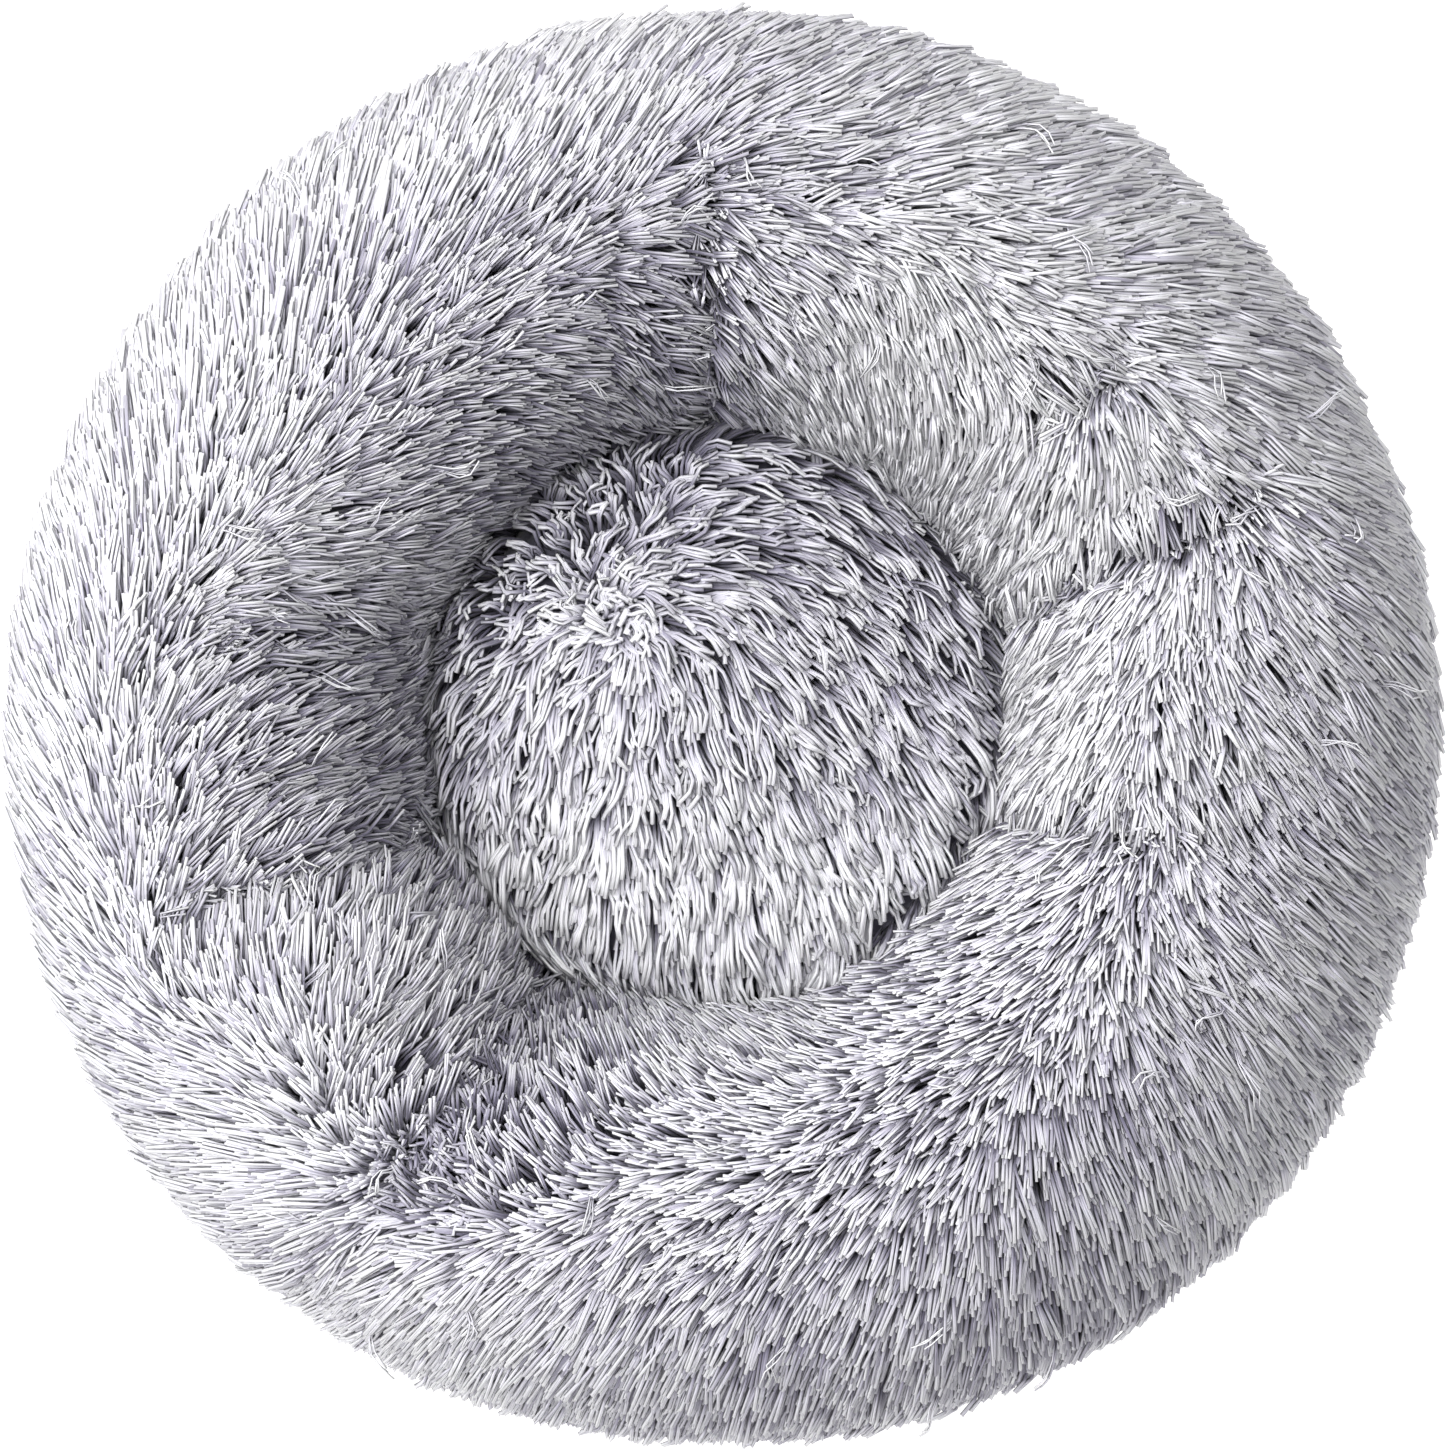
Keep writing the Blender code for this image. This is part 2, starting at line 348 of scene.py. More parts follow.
cover_points = points_of(cover)
flat_normals = np.empty(3 * len(cover_points), np.float32)
cover.data.vertices.foreach_get("normal", flat_normals)
drawn_in = np.zeros(len(cover_points))
for fold in FOLDS:
    aside, strength = beside(fold, cover_points)
    pinch = fold.pinch * np.sqrt(strength) * np.exp(-((aside / fold.half_width) ** 2))
    drawn_in = np.maximum(drawn_in, pinch)
cover_points -= drawn_in[:, None] * flat_normals.reshape(-1, 3)
place_points(cover, cover_points)

cover_points = points_of(cover)
held = np.clip((0.040 - cover_points[:, 2]) / 0.020, 0.0, 1.0)
held = np.maximum(held, 0.9 * fold_closeness(cover_points, 0.006) * (cover_points[:, 2] > 0.09))
blow_up(cover, held, pressure=25.0, stiffness=6.0, most=0.006)

backing, nodes, links, shader = new_material("knitted_backing", roughness=0.95, sheen=0.2)
place = nodes.new("ShaderNodeTexCoord")
loops = nodes.new("ShaderNodeTexNoise")
loops.inputs["Scale"].default_value = 240.0
loops.inputs["Detail"].default_value = 3.0
# The backing is coloured very dark, partly as painted shade, so that where it shows between the tufts it
# reads as the shade deep in the pile
shade = colour_ramp(nodes, [(0.30, (0.050, 0.047, 0.066)), (0.75, (0.130, 0.125, 0.160))])
relief = nodes.new("ShaderNodeBump")
relief.inputs["Strength"].default_value = 0.6
relief.inputs["Distance"].default_value = 0.0008
links.new(place.outputs["Object"], loops.inputs["Vector"])
links.new(loops.outputs["Fac"], shade.inputs["Fac"])
links.new(loops.outputs["Fac"], relief.inputs["Height"])
links.new(shade.outputs["Color"], shader.inputs["Base Color"])
links.new(relief.outputs["Normal"], shader.inputs["Normal"])
cover.data.materials.append(backing)
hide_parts(*BOLSTER_NODES)
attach(cover, "root")

# ---------------------------------------------------------------------------------------------
# The centre cushion's cover. A round pad of the same faux fur, stuffed softer than the
# bolster, is sewn in at its rim and crowns towards one side of the well.
# ---------------------------------------------------------------------------------------------
CUSHION_PILE_DEPTH = 0.011
cushion_low, cushion_high = (Vector(corner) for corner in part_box("centre_cushion"))
cushion_middle = (cushion_low + cushion_high) / 2

bpy.ops.object.select_all(action="DESELECT")
bpy.ops.mesh.primitive_uv_sphere_add(
    segments=96, ring_count=56, radius=0.5, location=cushion_middle,
    scale=(cushion_high - cushion_low) * 1.1,
)
cushion = bpy.context.object
cushion.name = "cushion_cover"
bpy.ops.object.transform_apply(location=True, rotation=True, scale=True)
wrap = cushion.modifiers.new("onto_the_solid", "SHRINKWRAP")
wrap.target = bpy.data.objects["centre_cushion"]
bpy.ops.object.modifier_apply(modifier=wrap.name)
bpy.ops.object.mode_set(mode="EDIT")
bpy.ops.mesh.select_all(action="SELECT")
bpy.ops.mesh.vertices_smooth(factor=0.5, repeat=4)
bpy.ops.transform.shrink_fatten(value=-CUSHION_PILE_DEPTH)
bpy.ops.mesh.vertices_smooth(factor=0.5, repeat=2)
bpy.ops.object.mode_set(mode="OBJECT")
bpy.ops.object.shade_smooth()
rest_on(cushion, base_high[2] + 0.0005, blend_from=0.050)
cushion_points = points_of(cushion)
sewn_rim = np.clip((0.060 - cushion_points[:, 2]) / 0.020, 0.0, 1.0)
blow_up(cushion, sewn_rim, pressure=2.0, stiffness=12.0, most=0.004)
cushion.data.materials.append(backing)
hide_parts("centre_cushion")
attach(cushion, "root")

# ---------------------------------------------------------------------------------------------
# The bolster's pile. Long polyester fibres stand out of the backing in tufts, brushed clockwise
# round the ring, outwards at its rim and down into the well. Each tuft's strands draw together
# into a blunt lock. The fibres are dyed lavender grey, and their tips are frosted white. Their
# very dark roots are partly painted shade, down in the pile.
# ---------------------------------------------------------------------------------------------
STRANDS_IN_TUFT = 3
BOLSTER_TUFTS = 28000
TUFT_SPREAD = 0.00080
BOLSTER_CURL = 0.0009
RING_SECTORS = 6

# How the pile changes from the well outwards: its reach along the cover, how unruly it lies in
# degrees, how pale its middle is (paler at the rim, partly as painted light), its strands' width,
# and how dark the painted shade is in the lines between its strands and between their fibres
Lie = namedtuple("Lie", "radius reach unruly pale width gaps")
LIES = (
    Lie(radius=0.140, reach=0.023, unruly=7.0, pale=0.58, width=0.0015, gaps=1.00),
    Lie(radius=0.180, reach=0.026, unruly=9.0, pale=0.57, width=0.0015, gaps=1.00),
    Lie(radius=0.225, reach=0.030, unruly=8.0, pale=0.62, width=0.0016, gaps=1.00),
    Lie(radius=0.262, reach=0.036, unruly=4.0, pale=0.74, width=0.0018, gaps=0.97),
)


def lie_at(radius, what):
    return np.interp(radius, [lie.radius for lie in LIES], [getattr(lie, what) for lie in LIES])


# The comb's turn outwards from clockwise, in degrees, at four radii for each bearing
COMBED_RADII = (0.144, 0.180, 0.225, 0.276)
COMBED = (
    (0, -33, 7, 27, 43),
    (15, -50, -24, 3, 50),
    (30, -66, -34, 22, 47),
    (45, -66, -36, 30, 60),
    (60, -35, -34, 13, 50),
    (75, -40, -32, 8, 48),
    (90, -58, -31, 16, 46),
    (105, -46, -22, 22, 52),
    (120, -45, -6, 28, 60),
    (135, -35, -6, 33, 54),
    (150, -56, -23, 18, 45),
    (165, -80, -70, 0, 41),
    (180, -58, -42, -15, 37),
    (195, -85, -57, -30, 34),
    (210, -57, -45, 5, 60),
    (225, -78, -69, 7, 56),
    (240, -85, -62, 55, 82),
    (255, -40, 12, 57, 84),
    (270, -30, 17, 56, 74),
    (285, -23, 29, 53, 65),
    (300, -10, 15, 57, 70),
    (315, -3, 14, 45, 64),
    (330, -16, 17, 54, 75),
    (345, -17, 24, 53, 67),
)


def combed_turn(points):
    """How far the pile is turned outwards from clockwise at these points, in radians."""
    radius = np.hypot(points[:, 0], points[:, 1])
    beyond = np.where(radius > TUBE_RADIUS, COMBED_RADII[-1], COMBED_RADII[0])
    radius = np.where(points[:, 2] < TUBE_HEIGHT, beyond, radius)
    bearing = np.degrees(np.arctan2(points[:, 1], points[:, 0])) % 360
    rows = np.array(COMBED + ((360,) + COMBED[0][1:],), float)
    at_radii = np.stack([np.interp(bearing, rows[:, 0], rows[:, 1 + i]) for i in range(4)], 1)
    turn = at_radii[:, 0]
    for i in range(3):
        share = np.clip(
            (radius - COMBED_RADII[i]) / (COMBED_RADII[i + 1] - COMBED_RADII[i]), 0, 1
        )
        turn = turn + share * (at_radii[:, i + 1] - at_radii[:, i])
    return np.radians(turn)


def unit(vectors):
    return vectors / np.maximum(np.linalg.norm(vectors, axis=-1, keepdims=True), 1e-12)


# The pinched place at the upper right, from which the locks below it spread like a fan
FAN_AT = np.array([0.150, 0.137])
FAN_TOWARDS = np.array([-0.09, -1.0])
FAN_SIZE = 0.052
FAN_STRENGTH = 1.4


def brushed_round(points, normals):
    """The way the pile lies on the bolster: unit vectors along its surface."""
    clockwise = np.stack([points[:, 1], -points[:, 0], np.zeros(len(points))], 1)
    clockwise = unit(clockwise - (clockwise * normals).sum(1, keepdims=True) * normals)
    outward = np.cross(normals, clockwise)
    turn = combed_turn(points)[:, None]
    combed = np.cos(turn) * clockwise + np.sin(turn) * outward
    from_fan = points[:, :2] - FAN_AT
    far = np.linalg.norm(from_fan, axis=1, keepdims=True)
    from_fan = from_fan / np.maximum(far, 1e-6)
    in_fan = np.clip((from_fan @ unit(FAN_TOWARDS) - 0.45) / 0.30, 0, 1)[:, None]
    combed[:, :2] += FAN_STRENGTH * in_fan * np.exp(-((far / FAN_SIZE) ** 2)) * from_fan
    return unit(combed - (combed * normals).sum(1, keepdims=True) * normals)


def on_surface(tree, points):
    """The nearest places on the backing, and the normals there."""
    places, normals = np.empty_like(points), np.empty_like(points)
    for index, point in enumerate(points):
        place, normal, _, _ = tree.find_nearest(point)
        places[index], normals[index] = place, normal
    return places, normals


def even_places(obj, count, wanted, random):
    """Even random places over a cover's faces, thinned to the wanted share, and the normals there."""
    obj.data.calc_loop_triangles()
    corners = np.empty(3 * len(obj.data.loop_triangles), np.int32)
    obj.data.loop_triangles.foreach_get("vertices", corners)
    points = points_of(obj)[corners.reshape(-1, 3)]
    spans = np.cross(points[:, 1] - points[:, 0], points[:, 2] - points[:, 0])
    normals = unit(spans)
    share = np.linalg.norm(spans, axis=1) * wanted(points.mean(axis=1), normals)
    steps = (np.arange(count) + random.random(count)) / count * share.sum()
    chosen = np.searchsorted(np.cumsum(share), steps).clip(0, len(share) - 1)
    a, b = random.random((2, count))
    over = a + b > 1
    a, b = np.where(over, 1 - a, a), np.where(over, 1 - b, b)
    first, second, third = (points[chosen, i] for i in range(3))
    return first + a[:, None] * (second - first) + b[:, None] * (third - first), normals[chosen]


def drift(points, wavelength, random):
    """A smooth random field over the bed, mostly between -1 and 1."""
    total = np.zeros(len(points))
    for _ in range(6):
        direction = unit(random.normal(size=3)) * 2 * np.pi / (wavelength * random.uniform(0.6, 1.6))
        total += np.sin(points @ direction + random.uniform(0, 2 * np.pi))
    return total / 2.4


MIDDLE_SHARE = 0.55


def lay_tufts(tree, tips, normals, brushed, reach, unruly, random):
    """Each tuft's path over the backing, traced back from under its tip to its root. The result
    is three stations from the root on, with their normals and the way the pile runs there."""
    count = len(tips)
    swirl = np.radians(unruly) * (random.normal(size=count) + 0.9 * drift(tips, 0.07, random))
    swirl = swirl[:, None]
    reach = reach[:, None] * random.uniform(0.80, 1.20, count)[:, None]

    def heading(points, normals):
        along = brushed(points, normals)
        return np.cos(swirl) * along + np.sin(swirl) * np.cross(normals, along)

    ahead_tip = heading(tips, normals)
    middles, middle_normals = on_surface(tree, tips - ahead_tip * reach * (1 - MIDDLE_SHARE))
    ahead_middle = heading(middles, middle_normals)
    roots, root_normals = on_surface(tree, middles - ahead_middle * reach * MIDDLE_SHARE)
    stations = np.stack([roots, middles, tips], 1)
    ups = np.stack([root_normals, middle_normals, normals], 1)
    aheads = np.stack([ahead_middle, ahead_middle, ahead_tip], 1)
    return stations, ups, aheads


FOLD_LIP = -0.0020
SHORTEST_SHARE = 0.05


def part_at_folds(tree, stations, ups, random):
    """Where a tuft would lean across a fold, it starts from under the fold instead. The result
    is the share of each tuft that is left, nothing where it is too little to show."""
    left = np.ones(len(stations))
    chance = random.random(len(stations))
    for fold in FOLDS:
        aside_tip, strength = beside(fold, stations[:, 2])
        aside_root, _ = beside(fold, stations[:, 0])
        across = (aside_tip * aside_root < 0) & (strength > 0.6 * chance)
        across &= np.abs(aside_tip) > fold.overhang * (0.5 + chance)
        share = (np.abs(aside_tip) - FOLD_LIP) / (np.abs(aside_tip) + np.abs(aside_root) + 1e-9)
        left = np.where(across, np.minimum(left, share), left)
    left = np.where(left < SHORTEST_SHARE, 0.0, left)
    cut = np.flatnonzero((left > 0) & (left < 1))
    tips = stations[cut, 2]
    for i, part in ((0, 1.0), (1, 1 - MIDDLE_SHARE)):
        back = (stations[cut, 0] - tips) * (left[cut] * part)[:, None]
        stations[cut, i], ups[cut, i] = on_surface(tree, tips + back)
    return left


# How high a tuft's root, middle and tip stand, as shares of the pile's depth: most tufts make the
# under layer, and the others lie over them and show their whole length
BENDS = 6.8
# The strands of a tuft lie side by side, and draw together on the way to their tips
SIDE_BY_SIDE = 0.95
GATHER = (1.0, 0.95, 0.80)
UNDER_LIFT = (-0.04, 0.56, 0.90)
OVER_LIFT = (-0.04, 0.92, 1.16)


def grow_strands(stations, ups, aheads, depth, width, spread, curl, rings, over_share, random):
    """The strands' points: the root, and then rings of three at even steps on to the tip. The
    share over_share of the tufts lies over the others, and the second result marks them."""
    count, strands = len(stations), STRANDS_IN_TUFT
    depth, width, curl = (np.broadcast_to(v, count)[:, None, None] for v in (depth, width, curl))
    sides = unit(np.cross(aheads, ups))
    scatter = random.normal(0.0, spread, (count, strands, 2))
    scatter[:, :, :1] += (np.arange(strands)[:, None] - (strands - 1) / 2) * SIDE_BY_SIDE * width
    reach = random.uniform(0.72, 1.16, (count, strands, 1))
    rise = random.normal(1.0, 0.08, (count, 1, 1)) + random.normal(0.0, 0.05, (count, strands, 1))
    over = random.random((count, 1, 1)) < over_share
    path = []
    for i, gather in enumerate(GATHER):
        lift = np.where(over, OVER_LIFT[i], UNDER_LIFT[i])
        base = stations[:, None, i]
        if i == 2:
            base = stations[:, None, 1] + (stations[:, 2] - stations[:, 1])[:, None] * reach
        point = base + scatter[:, :, :1] * gather * sides[:, None, i]
        point = point + scatter[:, :, 1:] * aheads[:, None, i]
        path.append(point + depth * lift * (rise if i else 1.0) * ups[:, None, i])
    root, middle, tip = path
    phase = 3.0 * drift(stations[:, 0], 0.05, random)[:, None, None]
    phase = phase + random.normal(0, 0.9, (count, 1, 1)) + random.normal(0, 0.4, (count, strands, 1))
    amount = curl * (random.normal(1.0, 0.35, (count, 1, 1)) + random.normal(0.0, 0.3, (count, strands, 1)))

    def centre(share):
        m = MIDDLE_SHARE
        at = root * ((share - m) * (share - 1) / m) + middle * (share * (share - 1) / (m * (m - 1)))
        at = at + tip * (share * (share - m) / (1 - m))
        return at + amount * share * np.sin(phase + BENDS * share) * sides[:, None, 1]

    wide = width * random.uniform(0.80, 1.25, (count, strands, 1))
    points = [root]
    for ring in range(1, rings + 1):
        share = ring / rings if rings > 2 else (MIDDLE_SHARE, 1.0)[ring - 1]
        ahead = unit(centre(min(1.0, share + 0.12)) - centre(share - 0.15))
        side = unit(np.cross(ahead, np.broadcast_to(ups[:, None, 1], ahead.shape)))
        above = np.cross(side, ahead)
        half = wide * (0.85 + 0.15 * share) / 2
        middle_of_ring = centre(share)
        points.append(middle_of_ring - side * half - above * half * 0.5)
        points.append(middle_of_ring + side * half - above * half * 0.5)
        points.append(middle_of_ring + above * half * 0.9)
    grown = np.stack(points, 2)
    grown[..., 2] = np.maximum(grown[..., 2], PILE_FLOOR)
    return grown, over[:, 0, 0]


PILE_FLOOR = 0.0006
TUFT_PATCH = 0.003


def strand_faces(rings):
    """The faces of one strand: three from the root to the first ring, its sides, and its tip."""
    faces = [(0, 1, 2), (0, 2, 3), (0, 3, 1)]
    for low in range(1, 3 * rings - 2, 3):
        for side in range(3):
            after = (side + 1) % 3
            faces.append((low + side, low + 3 + side, low + 3 + after, low + after))
    last = 3 * rings - 2
    return faces + [(last, last + 2, last + 1)]


def pile_mesh(name, points, root_uv, tone, pale, gaps, material):
    """One mesh of all the strands of these tufts. A higher pale turns their dye white nearer the
    root, and carries the painted light and shade. The gap setting, when lower, makes the painted
    shade lines at the strands' edges and between their fibres fainter."""
    tufts, strands, corners_each = points.shape[:3]
    rings = (corners_each - 1) // 3
    total = tufts * strands
    strand = strand_faces(rings)
    lengths = np.array([len(face) for face in strand])
    loops = np.concatenate([np.array(face) for face in strand])
    mesh = bpy.data.meshes.new(name)
    mesh.vertices.add(corners_each * total)
    mesh.vertices.foreach_set("co", points.astype(np.float32).ravel())
    corners = (np.arange(total)[:, None] * corners_each + loops).ravel()
    mesh.loops.add(len(corners))
    mesh.loops.foreach_set("vertex_index", corners.astype(np.int32))
    sizes = np.tile(lengths, total)
    mesh.polygons.add(len(sizes))
    mesh.polygons.foreach_set("loop_start", (np.cumsum(sizes) - sizes).astype(np.int32))
    mesh.update(calc_edges=True)
    along = np.concatenate([[0.0], np.repeat(np.arange(1, rings + 1) / rings, 3)])
    across = np.concatenate([[0.5], np.tile([0.0, 1.0, 0.5], rings)])
    bend = np.interp(along, (0.0, 0.5, 1.0), (0.0, 1.0, 0.0))
    # Along the strand, shifted by pale, which carries painted light and shade
    dye_and_painted_light = along + bend * (pale.repeat(strands)[:, None] - 0.5)
    # Painted shade lines at the strands' edges and between their fibres, fainter where the gap setting is
    # lower
    fibre = 0.5 + (across - 0.5) * gaps.repeat(strands)[:, None]
    along, across = np.tile(along, total), np.tile(across, total)
    number = np.tile(np.arange(strands), tufts).repeat(corners_each)
    patch = np.stack([(number + across) / strands, along], 1) - 0.5
    uv = root_uv.repeat(corners_each * strands, axis=0) + patch * TUFT_PATCH
    layer = mesh.uv_layers.new(name="OFBake")
    layer.data.foreach_set("uv", uv[corners].astype(np.float32).ravel())
    tones = tone.reshape(-1).repeat(corners_each)
    for label, values in (("dye_and_painted_light", dye_and_painted_light.ravel()), ("fibre", fibre.ravel()), ("tone", tones)):
        mesh.attributes.new(label, "FLOAT", "POINT").data.foreach_set(
            "value", values.astype(np.float32)
        )
    mesh.materials.append(material)
    mesh.shade_smooth()
    pile = bpy.data.objects.new(name, mesh)
    bpy.context.scene.collection.objects.link(pile)
    return pile


def pile_material(name, dye_and_painted_light, tint, fibres):
    """Fibre coloured along its length by its dye, which also carries painted light and painted root shade,
    tinted tuft by tuft, with painted shade in lines at each strand's edges and between its fibres.
    """
    made, nodes, links, shader = new_material(name, roughness=0.55, sheen=0.25, specular=0.35)
    colour = None
    for label, stops in (("dye_and_painted_light", dye_and_painted_light), ("tone", tint), ("fibre", fibres)):
        read = nodes.new("ShaderNodeAttribute")
        read.attribute_name = label
        ramp = colour_ramp(nodes, stops)
        links.new(read.outputs["Fac"], ramp.inputs["Fac"])
        if colour is None:
            colour = ramp.outputs["Color"]
            continue
        mix = nodes.new("ShaderNodeMix")
        mix.data_type = "RGBA"
        mix.blend_type = "MULTIPLY"
        mix.inputs[0].default_value = 1.0
        links.new(colour, mix.inputs[6])
        links.new(ramp.outputs["Color"], mix.inputs[7])
        colour = mix.outputs[2]
    relief = nodes.new("ShaderNodeBump")
    relief.inputs["Strength"].default_value = 0.8
    relief.inputs["Distance"].default_value = 0.0003
    links.new(ramp.outputs["Color"], relief.inputs["Height"])
    links.new(relief.outputs["Normal"], shader.inputs["Normal"])
    links.new(colour, shader.inputs["Base Color"])
    return made


# The dye from root to tip, lavender grey with frosted white tips. The very dark roots and lower middles are
# partly painted shade, for the shade deep in the pile
FROSTED_DYE_AND_ROOT_SHADE = [
    (0.0, (0.09, 0.08, 0.12)),
    (0.45, (0.23, 0.22, 0.28)),
    (0.70, (0.69, 0.68, 0.74)),
    (0.86, (0.88, 0.88, 0.91)),
    (1.0, (0.95, 0.95, 0.96)),
]
TINT = [(0.0, (0.42, 0.40, 0.49)), (0.50, (0.93, 0.92, 0.96)), (1.0, (1.0, 1.0, 1.0))]
# Painted shade: dark lines at each strand's edges, and a fainter one down its middle, stand for the shade
# in the gaps between strands and between their fibres
GAP_SHADE = (0.06, 0.055, 0.09)
FIBRE_GAP_SHADE = [
    (0.0, GAP_SHADE),
    (0.14, (1.0, 1.0, 1.0)),
    (0.44, (1.0, 1.0, 1.0)),
    (0.50, (0.60, 0.58, 0.65)),
    (0.56, (1.0, 1.0, 1.0)),
    (0.86, (1.0, 1.0, 1.0)),
    (1.0, GAP_SHADE),
]
plush = pile_material("frosted_plush", FROSTED_DYE_AND_ROOT_SHADE, TINT, FIBRE_GAP_SHADE)


WELL_PILE_FROM = 0.036
LEAST_DEPTH = 0.25
CREASE_SHADE = 0.60
CREASE_HALF_WIDTH = 0.0036
TOUSLED_AT = np.array([-0.112, -0.168])
TOUSLED_SIZE = 0.032


def on_the_bolster(points, normals):
    """The pile is thinner low on the outside. There is none on the underside, nor where the cushion
    presses on the bolster, and on the upper left that bare strip reaches higher, so that more of
    the dark backing shows there as painted shade."""
    radius = np.hypot(points[:, 0], points[:, 1])
    under = np.clip((points[:, 2] - 0.012) / 0.012, 0, 1) * (normals[:, 2] > -0.85)
    uneven = 0.006 * drift(points, 0.05, np.random.default_rng(3))
    shaded_side = 0.010 * (unit(points[:, :2]) @ np.array([-0.87, 0.50]) > 0.75)
    inside = (radius < 0.17) & (points[:, 2] < WELL_PILE_FROM + uneven + shaded_side)
    low = np.clip((0.11 - points[:, 2]) / 0.06, 0, 1) * (radius > TUBE_RADIUS)
    rim = np.clip((radius - 0.225) / 0.04, 0, 1)
    return under * ~inside * (1 - 0.40 * low) * (1 - 0.18 * rim)


random = np.random.default_rng(7)
cover_tree = BVHTree.FromPolygons(
    [v.co.copy() for v in cover.data.vertices], [tuple(p.vertices) for p in cover.data.polygons]
)
tips, normals = even_places(cover, BOLSTER_TUFTS, on_the_bolster, random)
tip_radius = np.hypot(tips[:, 0], tips[:, 1])
tip_radius = np.where((tips[:, 2] < TUBE_HEIGHT) & (tip_radius > TUBE_RADIUS), 0.3, tip_radius)
# The lap of the cover at the lower left is left tousled
tousled = np.exp(-((np.linalg.norm(tips[:, :2] - TOUSLED_AT, axis=1) / TOUSLED_SIZE) ** 2))
unruly = lie_at(tip_radius, "unruly") + 12 * fold_closeness(tips, 0.012) + 30 * tousled
reach = lie_at(tip_radius, "reach") * (1 - 0.4 * tousled)
stations, ups, aheads = lay_tufts(cover_tree, tips, normals, brushed_round, reach, unruly, random)
left = part_at_folds(cover_tree, stations, ups, random)
kept = left > 0
stations, ups, aheads, left, tip_radius = (
    values[kept] for values in (stations, ups, aheads, left, tip_radius)
)
depth = PILE_DEPTH * np.maximum(left, LEAST_DEPTH) ** 0.5
depth *= np.interp(tip_radius, (0.250, 0.290), (1.0, 0.66))
over_share = np.interp(tip_radius, (0.22, 0.28), (0.30, 0.12))[:, None, None]
strands, over = grow_strands(
    stations, ups, aheads, depth, lie_at(tip_radius, "width"), TUFT_SPREAD, BOLSTER_CURL, 2,
    over_share, random,
)


def painted_light_and_shade(places, points):
    """How much paler the pile is painted at these points: each place, as its bearing, radius and size,
    gets painted light, and where paler is negative painted shade, darker in the creases, the well
    and on the side away from the light. In part it also stands for pile brushed flat that shows
    white ends, and pile ruffled that shows roots."""
    total = np.zeros(len(points))
    for place in places:
        at = math.radians(place.bearing)
        middle = place.radius * np.array([math.cos(at), math.sin(at)])
        away = np.linalg.norm(points[:, :2] - middle, axis=1)
        total += place.paler * np.exp(-((away / place.size) ** 2))
    return total


PaintedLightPlace = namedtuple("PaintedLightPlace", "bearing radius size paler")
# Painted light and painted shade on the bolster's pile, place by place
BOLSTER_PAINTED_LIGHT = (
    PaintedLightPlace(bearing=350, radius=0.145, size=0.050, paler=0.26),
    PaintedLightPlace(bearing=22, radius=0.148, size=0.052, paler=0.32),
    PaintedLightPlace(bearing=58, radius=0.152, size=0.052, paler=0.46),
    PaintedLightPlace(bearing=30, radius=0.205, size=0.050, paler=0.18),
    PaintedLightPlace(bearing=62, radius=0.235, size=0.070, paler=0.12),
    PaintedLightPlace(bearing=98, radius=0.315, size=0.055, paler=0.24),
    PaintedLightPlace(bearing=150, radius=0.290, size=0.090, paler=0.12),
    PaintedLightPlace(bearing=210, radius=0.170, size=0.035, paler=0.16),
    PaintedLightPlace(bearing=240, radius=0.300, size=0.050, paler=0.08),
    PaintedLightPlace(bearing=87, radius=0.150, size=0.015, paler=-0.60),
    PaintedLightPlace(bearing=99, radius=0.165, size=0.028, paler=-0.20),
    PaintedLightPlace(bearing=199, radius=0.152, size=0.020, paler=-0.34),
    PaintedLightPlace(bearing=176, radius=0.132, size=0.022, paler=-0.18),
    PaintedLightPlace(bearing=124, radius=0.150, size=0.045, paler=-0.26),
    PaintedLightPlace(bearing=178, radius=0.155, size=0.040, paler=-0.20),
    PaintedLightPlace(bearing=236, radius=0.200, size=0.042, paler=-0.48),
    PaintedLightPlace(bearing=270, radius=0.265, size=0.060, paler=-0.22),
    PaintedLightPlace(bearing=238, radius=0.128, size=0.024, paler=-0.50),
    PaintedLightPlace(bearing=212, radius=0.126, size=0.020, paler=-0.20),
    PaintedLightPlace(bearing=180, radius=0.124, size=0.024, paler=-0.26),
    PaintedLightPlace(bearing=122, radius=0.124, size=0.024, paler=-0.30),
    PaintedLightPlace(bearing=30, radius=0.122, size=0.014, paler=-0.30),
    PaintedLightPlace(bearing=88, radius=0.245, size=0.042, paler=-0.16),
    PaintedLightPlace(bearing=300, radius=0.124, size=0.026, paler=-0.30),
    PaintedLightPlace(bearing=300, radius=0.275, size=0.090, paler=-0.27),
    PaintedLightPlace(bearing=345, radius=0.290, size=0.060, paler=-0.10),
)
# Painted light and shade on the pile: lighter and darker places, painted shade along the fold lines at the
# tufts' tips and roots, and a paler middle towards the rim that is partly painted light
paler = painted_light_and_shade(BOLSTER_PAINTED_LIGHT, stations[:, 2])
paler -= CREASE_SHADE * fold_closeness(stations[:, 2], CREASE_HALF_WIDTH)
from_crease = fold_closeness(stations[:, 0], CREASE_HALF_WIDTH)
pale = np.clip(lie_at(tip_radius, "pale") + paler - CREASE_SHADE * from_crease, 0.25, 0.90)
gaps = np.clip(lie_at(tip_radius, "gaps") - 0.4 * paler, 0.5, 1.0)


def tone_of(stations, middling, random):
    """Lighter and darker tufts, and lighter and darker patches of them."""
    count = len(stations)
    patches = 0.10 * drift(stations[:, 0], 0.05, random)
    each = random.normal(middling, 0.17, count) + patches
    return np.clip(each[:, None] + random.normal(0, 0.20, (count, STRANDS_IN_TUFT)), 0, 1)


